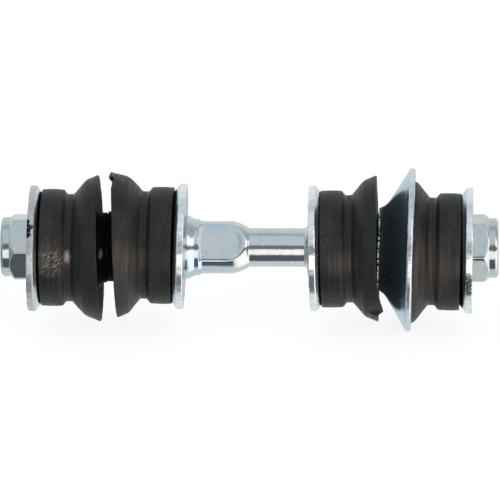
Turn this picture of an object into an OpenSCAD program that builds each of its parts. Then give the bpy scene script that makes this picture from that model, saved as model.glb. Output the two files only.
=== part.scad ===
// Stabilizer link: a forged rod with a threaded stud at each end. Each stud carries a stack of
// loose dished washers and flared rubber bushes, held by a locking nut with a nylon ring.
// The rod lies along X, Z is up, and the origin is on the rod's axis at the link's mid-length.

/* [Rod] */
// Diameter of both threaded studs
stud_d = 10; // [8:0.5:12]
// Chamfer on the stud ends
stud_chamfer = 1; // [0.4:0.1:1.5]
// Distance between the two washer seats of the rod
seat_span = 37.8; // [34:0.2:60]
// Diameter of the flange behind the left washer
flange_d = 16.6; // [15.6:0.2:20]
// Thickness of that flange at its rim
flange_t = 3; // [2:0.1:4]
// Length of the flare from the flange down to the barrel
flare_len = 2.6; // [2:0.1:4]
// Blend radius between the flare and the barrel
flare_blend = 1.8; // [0.4:0.1:2.4]
// Diameter of the barrel that carries the wrench flats
barrel_d = 13.5; // [12:0.1:15]
// Length of the barrel from the end of the flare
barrel_len = 9.3; // [8:0.1:11]
// Length of the domed shoulder that brings the barrel down to the shank
shoulder_len = 4.2; // [3.8:0.1:6]
// Slope at which the shoulder leaves the barrel
shoulder_slope = 12; // [0:1:20]
// Fillet between the shoulder and the shank
shoulder_fillet = 0.5; // [0.2:0.1:0.8]
// Diameter of the plain shank
shank_d = 9.9; // [8:0.1:11]
// Diameter of the collar behind the right washer
collar_d = 16; // [14:0.2:20]
// Thickness of that collar
collar_t = 3.4; // [2:0.1:5]
// Fillet between the shank and the collar
collar_fillet = 1.2; // [0.4:0.1:2]

/* [Wrench flats] */
// Size across the two flats
flat_af = 10; // [9:0.1:12]
// Distance from the left washer seat to the wall where the flats begin
flat_start = 6.2; // [6:0.1:8]
// Length of the flats, to the tip of their rounded end
flat_len = 11.3; // [9:0.1:11.6]
// Radius of that rounded end
flat_round = 5; // [4.8:0.1:7]
// Angle of the front flat above the horizontal
flat_roll = 30; // [-90:1:90]

/* [Dished washers] */
// Outer diameter
washer_d = 33; // [30:0.5:36]
// Thickness along the axis
washer_t = 1.9; // [1.2:0.1:2.4]
// Depth of the dish
washer_depth = 3.5; // [2.6:0.1:3.6]
// Angle of the conical rim from the washer's plane
washer_angle = 36; // [30:1:44]
// Bend radius where the rim leaves the flat centre
washer_bend = 1; // [0.4:0.1:1.6]
// Radial play of the washers on the studs
washer_play = 0.95; // [0.85:0.05:1.5]

/* [Bushes] */
// Diameter of the band at the washer end
band_d = 30.5; // [29:0.1:33]
// Length of that band
band_len = 5.6; // [4.5:0.1:8]
// Diameter of the groove
groove_d = 28.2; // [26:0.1:29.4]
// Length of the step from the band into the groove
groove_step = 0.9; // [0.5:0.1:1.5]
// Length of the groove's floor
groove_len = 1.7; // [1:0.1:3]
// Diameter at the knee of the flare
knee_d = 35.7; // [33:0.1:37]
// Length of the steep cone up to the knee
knee_len = 3.15; // [2:0.05:4]
// Diameter of the lip
lip_d = 38.5; // [37:0.1:39.2]
// Rounding of the knee
knee_round = 2; // [0.5:0.1:3]
// Length of the shallow cone from the knee to the lip
lip_len = 3.4; // [2.8:0.1:5]
// Width of the lip's blunt edge
lip_t = 0.9; // [0.5:0.1:1.5]
// Depth of the cup inside the lip
cup_depth = 3.6; // [2.8:0.1:4.5]
// Diameter of the nose that fills the eye
nose_d = 18.4; // [17:0.1:19]
// Fillet at the foot of the nose
nose_fillet = 0.8; // [0.2:0.1:1.2]
// How far the nose stands out of the lip's plane
nose_out = 2.2; // [1.8:0.1:3.2]
// Radial play of the bushes on the studs
bush_play = 1.7; // [1.6:0.05:2.2]
// Depth of the recess that takes the washer's dish
recess_depth = 2.3; // [1.4:0.05:2.4]
// Width of the recess floor beyond the flat centre of the washer
recess_margin = 1.1; // [1:0.05:1.5]
// Width of the bush's end face around the recess
end_face = 0.35; // [0.2:0.05:0.5]

/* [Dish] */
// Outer diameter of the dish
dish_d = 42.8; // [41.6:0.2:46]
// Thickness along the axis
dish_t = 2.1; // [1.4:0.1:2.4]
// Depth from the neck's end to the front of the rim
dish_depth = 7.15; // [6.6:0.05:8]
// Angle of the flare from the axis
dish_angle = 58.5; // [56:0.5:61]
// Width of the flat rim
dish_rim = 1.35; // [0.8:0.05:1.6]
// Bend radius from the flare to the rim
rim_bend = 1; // [0.3:0.1:1.5]
// Slope of the neck at its end, where the trumpet's curve begins
neck_slope = 15; // [5:1:25]
// Wall of the neck at its end
neck_wall = 0.95; // [0.8:0.05:1.5]
// Radial play of the neck on the bush's nose
neck_play = 0.6; // [0.5:0.05:0.9]
// How far the neck's end stays outside the lip of the bush whose nose it sleeves
neck_gap = 0.1; // [0:0.05:0.6]
// How far the dish presses back the lip of the bush that lies in it
lip_press = 2; // [1.6:0.1:2]
// How far the dish narrows that lip, measured on the radius
lip_squeeze = 0.65; // [0.4:0.05:0.9]
// Radial gap between that lip and the dish
lip_gap = 0.75; // [0.65:0.05:1.5]

/* [Nuts] */
// Size across the flats of the hexagon
nut_af = 16; // [15.8:0.1:18]
// Height of the hexagon
hex_h = 6.5; // [5:0.1:9]
// Diameter of the round collar that holds the nylon ring
nut_collar_d = 15.7; // [15:0.1:15.8]
// Height of the collar
nut_collar_h = 3; // [2.6:0.1:4]
// Rounding of the collar's outer edge
nut_collar_round = 1.3; // [0.3:0.1:1.4]
// Angle of the chamfers on the hexagon
hex_chamfer = 30; // [15:1:40]
// Diameter of the nylon ring
ring_d = 12.8; // [12.6:0.1:13.2]
// Height of the nylon ring
ring_h = 2; // [1:0.1:2.2]
// Steel left over the nylon ring at the collar's end
ring_cover = 0.6; // [0.3:0.1:1]
// Diameter of the opening in that cover
ring_mouth_d = 11.4; // [10.8:0.1:12]
// How far the stud's end lies inside the nut
stud_recess = 0.9; // [0.5:0.1:1.5]
// Roll of the left nut: angle of its front corner above the horizontal
left_nut_roll = 5; // [0:1:59]
// Roll of the right nut: angle of its front corner above the horizontal
right_nut_roll = 0; // [0:1:59]

/* [Fits] */
// Radial running clearance of nuts and nylon rings on the studs
thread_play = 0.05; // [0.02:0.01:0.1]
// Clearance of the nylon ring in its groove
ring_play = 0.04; // [0.02:0.01:0.1]
// Axial play at each joint of the left stack, with its nut run up by hand
left_play = 0.35; // [0.3:0.05:0.8]
// Axial play at each joint of the right stack, with its nut run up by hand
right_play = 0.2; // [0.2:0.05:0.8]
// Axial play between the left outer washer and its nut
left_nut_play = 0.8; // [0.2:0.05:0.8]
// Axial play between the right outer washer and its nut
right_nut_play = 0.2; // [0.2:0.05:0.8]

/* [How the loose pieces lie: drop below the axis in mm and tilt of the top to the right in degrees] */
// Left outer washer
left_outer_washer_lie = [0.45, 1]; // [-2:0.05:2]
// Left outer bush
left_outer_bush_lie = [0.25, 0.7]; // [-2:0.05:2]
// Left inner bush
left_inner_bush_lie = [-0.6, 1.3]; // [-2:0.05:2]
// Left inner washer
left_inner_washer_lie = [-0.3, 2]; // [-2:0.05:2]
// Right inner washer
right_inner_washer_lie = [0.2, -0.9]; // [-2:0.05:2]
// Right inner bush
right_inner_bush_lie = [0.3, -0.9]; // [-2:0.05:2]
// Dish
dish_lie = [0.45, 1.8]; // [-2:0.05:2]
// Right outer bush
right_outer_bush_lie = [0.95, 1.2]; // [-2:0.05:2]
// Right outer washer
right_outer_washer_lie = [0.7, 0.7]; // [-2:0.05:2]

/* [Hidden] */

zinc = [0.76, 0.80, 0.83];
rubber = [0.13, 0.13, 0.13];
nylon = [0.90, 0.90, 0.86];
turned_fn = 96;
corner_steps = 6;
// The most of a side that the rounding of one corner takes
corner_share = 0.48;
arc_steps = 8;
// Half the angle between two corners of a hexagon
hex_half = 30;
edge_break = 0.4;
fine_break = 0.25;
left = -1;
right = 1;
level = [0, 0];

// Radii and stations that follow from the sizes above
stud_r = stud_d / 2;
flange_r = flange_d / 2;
collar_r = collar_d / 2;
barrel_start = flange_t + flare_len;
barrel_end = barrel_start + barrel_len;
barrel_r = barrel_d / 2;
shank_r = shank_d / 2;
shoulder_end = 2 * atan((barrel_r - shank_r) / shoulder_len) - shoulder_slope;
shoulder_r = shoulder_len / (sin(shoulder_end) - sin(shoulder_slope));
collar_start = seat_span - collar_t;

washer_r = washer_d / 2;
washer_bore_r = stud_r + washer_play;
washer_centre_r = washer_r - washer_depth / tan(washer_angle);

bush_bore_r = stud_r + bush_play;
band_r = band_d / 2;
recess_floor_r = washer_centre_r + recess_margin;
recess_mouth_r = band_r - end_face;
groove_start = band_len + groove_step;
groove_end = groove_start + groove_len;
knee_x = groove_end + knee_len;
lip_x = knee_x + lip_len;
cup_floor_x = lip_x - cup_depth;
bush_len = lip_x + nose_out;
nose_r = nose_d / 2;

neck_bore_r = nose_r + neck_play;
neck_r = neck_bore_r + neck_wall;
dish_r = dish_d / 2;
dish_len = dish_depth + dish_t;
// Where the flare's straight lines would cross the neck's end, outside and inside
outer_line_r = dish_r - dish_rim - dish_depth * tan(dish_angle);
inner_line_r = dish_r - dish_rim - dish_len * tan(dish_angle);
nested_lip_r = lip_d / 2 - lip_squeeze;
nested_lip_x = lip_x - lip_press;

nut_h = hex_h + nut_collar_h;
hex_corner_r = nut_af / 2 / cos(hex_half);
hex_face_r = nut_af / 2 - edge_break;
nut_bore_r = stud_r + thread_play;
ring_r = ring_d / 2;
ring_base = nut_h - ring_cover - ring_h;

// Axial gap at a joint: its play, and room for one piece to tilt on the other at a seat radius
function gap(play, seat_r, one, other) = play + seat_r * abs(sin(one[1] - other[1]));

// The same at a washer's cone in a bush's recess, with room for the drop of one on the other.
// side is 1 where the washer is to the right of the bush, and -1 where it is to the left.
function cone_gap(play, washer, bush, side) =
    let (end_drop = bush[0] + side * bush_len / 2 * sin(bush[1]))
    gap(play, recess_floor_r, washer, bush) + abs(end_drop - washer[0]) * tan(washer_angle);

// Where a given inner radius of the dish's flare lies, measured from the neck's end
function dish_station(inner_r) = (inner_r - inner_line_r) / tan(dish_angle);

// Stations of each stack, measured outwards from the rod's seat
left_inner_washer_s = gap(left_play, flange_r, level, left_inner_washer_lie);
left_inner_bush_s = left_inner_washer_s + washer_t - recess_depth
    + cone_gap(left_play, left_inner_washer_lie, left_inner_bush_lie, 1);
left_outer_bush_s = left_inner_bush_s + 2 * bush_len
    + gap(left_play, nose_r, left_inner_bush_lie, left_outer_bush_lie);
left_outer_washer_s = left_outer_bush_s - recess_depth + washer_t
    + cone_gap(left_play, left_outer_washer_lie, left_outer_bush_lie, -1);
left_nut_s = left_outer_washer_s + gap(left_nut_play, nut_af / 2, left_outer_washer_lie, level);

right_inner_washer_s = gap(right_play, collar_r, level, right_inner_washer_lie);
right_inner_bush_s = right_inner_washer_s + washer_t - recess_depth
    + cone_gap(right_play, right_inner_washer_lie, right_inner_bush_lie, -1);
dish_s = right_inner_bush_s + lip_x + neck_gap;
right_outer_bush_s = dish_s + dish_station(nested_lip_r + lip_gap) + nested_lip_x;
right_outer_washer_s = right_outer_bush_s - recess_depth + washer_t
    + cone_gap(right_play, right_outer_washer_lie, right_outer_bush_lie, 1);
right_nut_s = right_outer_washer_s
    + gap(right_nut_play, nut_af / 2, right_outer_washer_lie, level);

// The stud ends, and the middle of the link, measured from the left seat
left_stud_len = left_nut_s + nut_h - stud_recess;
right_stud_len = right_nut_s + nut_h - stud_recess;
link_mid = (seat_span + right_nut_s - left_nut_s) / 2;

// A corner of an outline, given as [radius, station, rounding], as the points of its arc.
// The rounding is limited by the shorter of the two sides that meet there.
function flat_pair(p) = [p[0], p[1]];
function unit(v) = v / norm(v);
function corner_arc(before, at, after) =
    let (
        p = flat_pair(at),
        u = unit(flat_pair(before) - p),
        v = unit(flat_pair(after) - p),
        half = acos(u * v) / 2,
        side = min(norm(flat_pair(before) - p), norm(flat_pair(after) - p)),
        rounding = min(at[2], corner_share * side * tan(half)),
        centre = p + unit(u + v) * rounding / sin(half),
        from = p + u * rounding / tan(half) - centre,
        turn = 180 - 2 * half,
        way = sign(u[1] * v[0] - u[0] * v[1])
    )
    [for (k = [0 : corner_steps])
        let (a = way * turn * k / corner_steps)
        centre + [from[0] * cos(a) - from[1] * sin(a), from[0] * sin(a) + from[1] * cos(a)]];
function corner_points(before, at, after) =
    at[2] > 0 ? corner_arc(before, at, after) : [flat_pair(at)];
function rounded(corners) =
    let (n = len(corners))
    [for (i = [0 : n - 1])
        each corner_points(corners[(i + n - 1) % n], corners[i], corners[(i + 1) % n])];

// A turned solid about X, from the corners of its outline
module turned(corners) {
    rotate([0, 90, 0])
        rotate_extrude($fn = turned_fn)
            polygon(rounded(corners));
}

// A piece at a station outwards of the left or right seat, facing outwards (1) or inwards (-1)
module place(end, station, lie = level, facing = 1) {
    seat_x = (end == left ? 0 : seat_span) - link_mid;
    translate([seat_x + end * station, 0, -lie[0]])
        rotate([0, lie[1], 0])
            rotate([0, 0, end * facing < 0 ? 180 : 0])
                children();
}

// A bush is carried at half its length, so that it tilts about its own middle
module place_bush(end, station, lie, facing) {
    place(end, station + facing * bush_len / 2, lie, facing)
        translate([-bush_len / 2, 0, 0])
            children();
}

// A corner of the shoulder's arc, k steps down from the barrel
function shoulder_corner(k) =
    let (a = shoulder_slope + (shoulder_end - shoulder_slope) * k / arc_steps)
    [
        barrel_r - shoulder_r * (cos(shoulder_slope) - cos(a)),
        barrel_end + shoulder_r * (sin(a) - sin(shoulder_slope)),
        k == arc_steps ? shoulder_fillet : 0
    ];

module rod_blank() {
    turned([
        [0, -left_stud_len, 0],
        [stud_r - stud_chamfer, -left_stud_len, 0],
        [stud_r, -left_stud_len + stud_chamfer, 0],
        [stud_r, 0, 0],
        [flange_r, 0, edge_break],
        [flange_r, flange_t, edge_break],
        [barrel_r, barrel_start, flare_blend],
        each [for (k = [0 : arc_steps]) shoulder_corner(k)],
        [shank_r, collar_start, collar_fillet],
        [collar_r, collar_start, edge_break],
        [collar_r, seat_span, edge_break],
        [stud_r, seat_span, 0],
        [stud_r, seat_span + right_stud_len - stud_chamfer, 0],
        [stud_r - stud_chamfer, seat_span + right_stud_len, 0],
        [0, seat_span + right_stud_len, 0]
    ]);
}

// The two flats are pressed into the barrel, with a straight wall on the left and a rounded end
// in the shoulder on the right
module wrench_flats() {
    straight_len = flat_len - flat_round;
    for (side = [0, 180])
        rotate([90 - flat_roll + side, 0, 0])
            translate([flat_start, 0, flat_af / 2])
                linear_extrude(flange_d) {
                    translate([0, -flat_round])
                        square([straight_len, 2 * flat_round]);
                    translate([straight_len, 0])
                        circle(r = flat_round, $fn = turned_fn);
                }
}

module link_rod() {
    color(zinc)
        translate([-link_mid, 0, 0])
            difference() {
                rod_blank();
                wrench_flats();
            }
}

// Flat centre from station 0 to its thickness, and a rim that leans back as a cone
module dished_washer() {
    color(zinc)
        turned([
            [washer_bore_r, 0, fine_break],
            [washer_centre_r, 0, washer_bend],
            [washer_r, -washer_depth, fine_break],
            [washer_r, washer_t - washer_depth, edge_break],
            [washer_centre_r, washer_t, washer_bend],
            [washer_bore_r, washer_t, fine_break]
        ]);
}

// Band, groove, two-stage flare with a thin cupped lip, and a nose inside the cup.
// Station 0 is the end face at the washer.
module flared_bush(edge_r, edge_x) {
    color(rubber)
        turned([
            [bush_bore_r, recess_depth, fine_break],
            [recess_floor_r, recess_depth, edge_break],
            [recess_mouth_r, 0, fine_break],
            [band_r, 0, edge_break],
            [band_r, band_len, edge_break],
            [groove_d / 2, groove_start, edge_break],
            [groove_d / 2, groove_end, edge_break],
            [knee_d / 2, knee_x, knee_round],
            [edge_r, edge_x, fine_break],
            [edge_r - lip_t, edge_x, fine_break],
            [nose_r, cup_floor_x, nose_fillet],
            [nose_r, bush_len, edge_break],
            [bush_bore_r, bush_len, fine_break]
        ]);
}

module plain_bush() {
    flared_bush(lip_d / 2, lip_x);
}

module nested_bush() {
    flared_bush(nested_lip_r, nested_lip_x);
}

// A corner of the trumpet's curve, k steps from a radius at the neck's end to the straight flare,
// whose line would cross the neck's end at line_r
function trumpet_corner(k, end_r, line_r) =
    let (
        run = sin(dish_angle) - sin(neck_slope),
        rise = cos(neck_slope) - cos(dish_angle),
        bend = (end_r - line_r) / (run * tan(dish_angle) - rise),
        a = neck_slope + (dish_angle - neck_slope) * k / arc_steps
    )
    [
        end_r + bend * (cos(neck_slope) - cos(a)),
        bend * (sin(a) - sin(neck_slope)),
        k == 0 ? fine_break : 0
    ];

// Trumpet ring: a drawn neck that sleeves the bush's nose, curving out into a flare with a flat rim
module trumpet_dish() {
    color(zinc)
        turned([
            each [for (k = [0 : arc_steps]) trumpet_corner(k, neck_r, outer_line_r)],
            [dish_r - dish_rim, dish_depth, rim_bend],
            [dish_r, dish_depth, edge_break],
            [dish_r, dish_len, edge_break],
            [dish_r - dish_rim, dish_len, fine_break],
            each [for (k = [arc_steps : -1 : 0]) trumpet_corner(k, neck_bore_r, inner_line_r)]
        ]);
}

module chamfered_hex() {
    rise = (hex_corner_r - hex_face_r) * tan(hex_chamfer);
    intersection() {
        rotate([hex_half, 0, 0])
            rotate([0, 90, 0])
                cylinder(r = hex_corner_r, h = hex_h, $fn = 6);
        turned([
            [0, 0, 0],
            [hex_face_r, 0, 0],
            [hex_corner_r + edge_break, rise + edge_break * tan(hex_chamfer), 0],
            [hex_corner_r + edge_break, hex_h - rise - edge_break * tan(hex_chamfer), 0],
            [hex_face_r, hex_h, 0],
            [0, hex_h, 0]
        ]);
    }
}

// The bore with its lead-in, and the groove that the nylon ring is rolled into
module nut_hollow() {
    groove_r = ring_r + ring_play;
    turned([
        [0, -edge_break, 0],
        [nut_bore_r + 2 * edge_break, -edge_break, 0],
        [nut_bore_r, edge_break, 0],
        [nut_bore_r, ring_base - ring_play, 0],
        [groove_r, ring_base - ring_play, 0],
        [groove_r, ring_base + ring_h + ring_play, 0],
        [ring_mouth_d / 2, ring_base + ring_h + ring_play, 0],
        [ring_mouth_d / 2, nut_h + edge_break, 0],
        [0, nut_h + edge_break, 0]
    ]);
}

module lock_nut() {
    color(zinc)
        difference() {
            union() {
                chamfered_hex();
                turned([
                    [0, hex_h / 2, 0],
                    [nut_collar_d / 2, hex_h / 2, 0],
                    [nut_collar_d / 2, nut_h, nut_collar_round],
                    [0, nut_h, 0]
                ]);
            }
            nut_hollow();
        }
}

module nylon_ring() {
    color(nylon)
        turned([
            [nut_bore_r, ring_base, 0],
            [ring_r, ring_base, 0],
            [ring_r, ring_base + ring_h, 0],
            [nut_bore_r, ring_base + ring_h, fine_break]
        ]);
}

module left_inner_washer() {
    place(left, left_inner_washer_s, left_inner_washer_lie) dished_washer();
}

module left_inner_bush() {
    place_bush(left, left_inner_bush_s, left_inner_bush_lie, 1) plain_bush();
}

module left_outer_bush() {
    place_bush(left, left_outer_bush_s, left_outer_bush_lie, -1) plain_bush();
}

module left_outer_washer() {
    place(left, left_outer_washer_s, left_outer_washer_lie, -1) dished_washer();
}

module left_nut() {
    rotate([-left_nut_roll, 0, 0]) place(left, left_nut_s) lock_nut();
}

module left_nut_ring() {
    place(left, left_nut_s) nylon_ring();
}

module right_inner_washer() {
    place(right, right_inner_washer_s, right_inner_washer_lie) dished_washer();
}

module right_inner_bush() {
    place_bush(right, right_inner_bush_s, right_inner_bush_lie, 1) plain_bush();
}

module dish_washer() {
    place(right, dish_s + dish_len / 2, dish_lie)
        translate([-dish_len / 2, 0, 0])
            trumpet_dish();
}

module right_outer_bush() {
    place_bush(right, right_outer_bush_s, right_outer_bush_lie, -1) nested_bush();
}

module right_outer_washer() {
    place(right, right_outer_washer_s, right_outer_washer_lie, -1) dished_washer();
}

module right_nut() {
    rotate([-right_nut_roll, 0, 0]) place(right, right_nut_s) lock_nut();
}

module right_nut_ring() {
    place(right, right_nut_s) nylon_ring();
}

link_rod();
left_inner_washer();
left_inner_bush();
left_outer_bush();
left_outer_washer();
left_nut();
left_nut_ring();
right_inner_washer();
right_inner_bush();
dish_washer();
right_outer_bush();
right_outer_washer();
right_nut();
right_nut_ring();
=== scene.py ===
import math

import bmesh
import bpy
import numpy as np
from mathutils import Matrix, Quaternion, Vector


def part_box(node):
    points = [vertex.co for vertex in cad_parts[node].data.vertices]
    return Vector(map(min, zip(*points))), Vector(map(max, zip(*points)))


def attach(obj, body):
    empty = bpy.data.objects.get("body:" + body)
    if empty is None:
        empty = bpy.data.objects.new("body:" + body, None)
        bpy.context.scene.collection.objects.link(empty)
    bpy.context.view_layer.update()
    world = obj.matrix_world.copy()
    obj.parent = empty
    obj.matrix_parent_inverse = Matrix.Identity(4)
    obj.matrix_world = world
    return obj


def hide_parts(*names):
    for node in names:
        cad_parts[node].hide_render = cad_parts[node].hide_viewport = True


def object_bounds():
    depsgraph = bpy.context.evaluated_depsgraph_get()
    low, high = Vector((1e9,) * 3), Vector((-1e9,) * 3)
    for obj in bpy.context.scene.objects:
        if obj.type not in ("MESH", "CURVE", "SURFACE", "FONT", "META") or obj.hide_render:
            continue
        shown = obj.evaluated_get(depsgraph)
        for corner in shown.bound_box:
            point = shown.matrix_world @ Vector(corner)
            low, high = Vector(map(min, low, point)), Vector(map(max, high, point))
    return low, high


# The looks of a stabilizer link: a zinc-plated rod whose two studs carry dished washers, rubber
# bushes, a trumpet-shaped dish and lock nuts. Sizes are in millimetres and angles in degrees.
# Stations run along a piece's own axis. An angle round a piece is 0 at the front and 90 at the top.

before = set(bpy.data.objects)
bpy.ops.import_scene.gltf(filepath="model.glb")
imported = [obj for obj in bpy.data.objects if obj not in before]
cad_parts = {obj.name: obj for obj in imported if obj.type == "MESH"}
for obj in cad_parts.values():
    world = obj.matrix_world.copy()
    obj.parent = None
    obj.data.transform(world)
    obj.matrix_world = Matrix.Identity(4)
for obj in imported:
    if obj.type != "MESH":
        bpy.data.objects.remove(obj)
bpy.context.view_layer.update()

MM = 0.001

# Rod, with stations from its left washer seat
STUD_R = 5.0
STUD_CHAMFER = 1.0
STUD_EDGE = 0.2
SEAT_SPAN = 37.8
FLANGE_R = 8.3
FLANGE_T = 3.0
FLANGE_EDGE = 0.5
BARREL_R = 6.88
BARREL_START = 6.75
BARREL_END = 14.9
# Corners of the flare between flange and barrel: station, radius and rounding
FLARE = [(3.6, 8.12, 0.6), (4.75, 7.46, 0.9), (5.9, 7.38, 0.5)]
FLARE_BLEND = 1.4
SHOULDER_LEN = 4.2
SHOULDER_SLOPE = 12.0
SHOULDER_STEPS = 10
SHOULDER_FILLET = 1.5
SHANK_R = 5.1
COLLAR_R = 8.0
COLLAR_T = 3.4
COLLAR_FILLET = 1.2
FLAT_HALF = 5.0
FLAT_START = 6.2
FLAT_LEN = 11.3
FLAT_ROUND = 5.0
FLAT_ROLL = 30.0
FLAT_EDGE = 0.5
FLAT_WALL = 0.35
FLAT_END_WALL = 3.0
# The least cosine at which the radius of a flat's plane is followed
FLAT_FACING = 0.2
# Where a mesh's rows end next to the axis
POLE_R = 0.01
THREAD_LEN = 23.0
THREAD_PITCH = 1.25
THREAD_DEPTH = 0.72
THREAD_CREST = 0.2
CORE_INSET = 0.1

# Dished washers, with stations from the hollow side of the flat centre
WASHER_R = 16.5
WASHER_T = 1.9
WASHER_DEPTH = 3.5
WASHER_ANGLE = 36.0
WASHER_BORE_R = 5.95
WASHER_BEND = 1.2
WASHER_EDGE = 0.25
WASHER_ROLLOVER = 0.5
RIM_REACH = 1.6
RIM_WAVER = 0.06
RIM_WAVES = (2, 3, 5, 11, 19, 37)

# Bushes, with stations from the end at the washer
BUSH_BORE_R = 6.7
BUSH_EDGE = 0.25
BAND_R = 15.25
BAND_LEN = 5.6
BAND_CROWN = 0.12
BAND_EDGE = 0.6
GROOVE_R = 14.1
GROOVE_START = 6.5
GROOVE_END = 8.2
GROOVE_ROUND = 0.6
KNEE_R = 17.85
KNEE_X = 11.35
KNEE_ROUND = 3.0
LIP_R = 19.25
LIP_X = 14.75
LIP_T = 0.8
LIP_EDGE = 0.2
LIP_REACH = 0.8
LIP_WAVER = 0.05
LIP_WAVES = (2, 3, 5, 9, 17, 31)
FLAP_EDGE = 2.5
FLAP_SAG = 0.4
FLAP_REACH = 1.4
NESTED_LIP_R = 18.6
NESTED_LIP_X = 12.75
CUP_FLOOR = 11.15
NOSE_R = 9.2
NOSE_FILLET = 0.8
NOSE_EDGE = 0.15
NOSE_BEND = 3.0
# Where the shade painted into the cup begins, and how much of it eases off towards the lip
CUP_MARGIN = 0.2
CUP_SHADE_EASE = 0.12
BUSH_LEN = 16.95
RECESS_DEPTH = 2.5
RECESS_FLOOR_R = 12.95
RECESS_MOUTH_R = 15.0

# Dish, with stations from the end of its neck
DISH_R = 21.4
DISH_T = 2.1
DISH_DEPTH = 7.15
DISH_ANGLE = 58.5
DISH_RIM = 1.35
DISH_EDGE = 0.7
RIM_SLANT = 0.7
RIM_BEND = 1.0
NECK_BORE_R = 9.8
NECK_R = 10.75
NECK_SLOPE = 15.0
NECK_EDGE = 0.25
TRUMPET_STEPS = 8

# Lock nuts and their nylon rings, with stations from the seat
NUT_HALF = 8.0
HEX_H = 7.4
HEX_CHAMFER = 30.0
HEX_TOP_CHAMFER = 46.0
HEX_TOP_INSET = 0.35
HEX_FACE_R = 7.6
HEX_SIDES = 6
HEX_SOFTNESS = 0.1
BLANK_MARGIN = 0.4
CORNER_CUT = 0.45
CORNER_SOFTNESS = 0.45
FACE_EDGE = 0.2
NUT_COLLAR_R = 7.85
NUT_COLLAR_FILLET = 0.3
NUT_H = 9.5
NUT_ROUND = 1.7
NUT_BORE_R = 5.05
NUT_BORE_CHAMFER = 0.4
NUT_BORE_EDGE = 0.1
RING_R = 6.4
RING_BASE = 6.9
RING_H = 2.0
RING_GAP = 0.05
RING_EDGE = 0.1
RING_LEAD = 0.5
MOUTH_R = 5.7
MOUTH_EDGE = 0.25
NUT_ROLL = {"left": 6.3, "right": -0.5}

# Fineness of the meshes
ROUND_STEPS = 5
ROUND_SHARE = 0.48
OUTLINE_STEP = 0.45
TURNED_COLUMNS = 224
ROD_COLUMNS = 256
ROD_STEP = 0.2
STUD_STEP = 1.5
THREAD_COLUMNS = 72
THREAD_STEPS = 10
NUT_COLUMNS = 384
NUT_STEP = 0.2
RING_COLUMNS = 96

# Seeds of the wavering edges, and the least size of one wave in a ripple
WASHER_SEED = 0
BUSH_SEED = 100
DISH_SEED = 200
SEED_STEP = 10
RIPPLE_LEAST = 0.4


# Outlines

def rounded(corners):
    """The points (station, radius) of a closed outline with corners (station, radius, rounding). A
    rounding takes up to ROUND_SHARE of the shorter side beside it."""
    points = []
    for i, (x, r, rounding) in enumerate(corners):
        at = np.array((x, r))
        to_last = np.array(corners[i - 1][:2]) - at
        to_next = np.array(corners[(i + 1) % len(corners)][:2]) - at
        side = min(np.linalg.norm(to_last), np.linalg.norm(to_next))
        u = to_last / np.linalg.norm(to_last)
        v = to_next / np.linalg.norm(to_next)
        half = math.acos(np.clip(u @ v, -1, 1)) / 2
        rounding = min(rounding, ROUND_SHARE * side * math.tan(half))
        if rounding <= 0:
            points.append(at)
            continue
        middle = (u + v) / np.linalg.norm(u + v)
        centre = at + middle * rounding / math.sin(half)
        reach = rounding / math.tan(half)
        first = at + u * reach - centre
        turn = math.pi - 2 * half
        way = math.copysign(1, u[1] * v[0] - u[0] * v[1])
        for k in range(ROUND_STEPS + 1):
            a = way * turn * k / ROUND_STEPS
            c, s = math.cos(a), math.sin(a)
            points.append(centre + (first[0] * c - first[1] * s, first[0] * s + first[1] * c))
    return points


def split(points, step):
    """The same closed outline with no side longer than step."""
    fine = []
    for i, start in enumerate(points):
        end = points[(i + 1) % len(points)]
        count = max(1, math.ceil(np.linalg.norm(end - start) / step))
        fine += [start + (end - start) * k / count for k in range(count)]
    return np.array(fine)


def ripple(theta, seed, waves):
    """A smooth closed wave round a piece, between about -1 and 1."""
    rng = np.random.default_rng(seed)
    total = np.zeros_like(theta)
    for count in waves:
        size = rng.uniform(RIPPLE_LEAST, 1)
        phase = rng.uniform(0, 2 * math.pi)
        total += size * np.sin(count * theta + phase)
    return total / math.sqrt(len(waves))


def angles(columns):
    return 2 * math.pi * np.arange(columns) / columns


def off_by(theta, degrees):
    """How far each angle round a piece lies from a given one, in degrees, from -180 to 180."""
    return (np.degrees(theta) - degrees + 180) % 360 - 180


# Meshes

def axis_frame(node, way, first):
    """Where a turned node lies: its X axis is the node's own axis, to the right or left by way (1 or -1),
    and the node begins at station first."""
    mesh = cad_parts[node].data
    mesh.calc_loop_triangles()
    points = np.array([v.co for v in mesh.vertices])
    triangles = np.array([t.vertices[:] for t in mesh.loop_triangles])
    a, b, c = (points[triangles[:, k]] for k in range(3))
    areas = np.linalg.norm(np.cross(b - a, c - a), axis=1)
    middles = (a + b + c) / 3
    centre = (middles * areas[:, None]).sum(0) / areas.sum()
    spread = (middles - centre) * np.sqrt(areas)[:, None]
    directions = np.linalg.eigh(spread.T @ spread)[1]
    axis = directions[:, np.argmax(np.abs(directions[0]))]
    axis = Vector(axis * way * np.sign(axis[0]))
    lowest = ((points - centre) @ np.array(axis)).min()
    origin = Vector(centre) + axis * (lowest - first * MM)
    up = Vector((0, 0, 1))
    up = (up - axis * up.dot(axis)).normalized()
    side = up.cross(axis)
    turn = Matrix((axis, side, up)).transposed().to_4x4()
    return Matrix.Translation(origin) @ turn


def rod_frame(way, station):
    """A frame on the rod's own axis, at a station in metres along X."""
    turn = Matrix.Identity(4) if way > 0 else Matrix.Rotation(math.pi, 4, "Z")
    return Matrix.Translation((station, 0, 0)) @ turn


def front_way(place):
    """Which way along a piece's own Y axis its front lies."""
    return 1 if place[0][0] < 0 else -1


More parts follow.
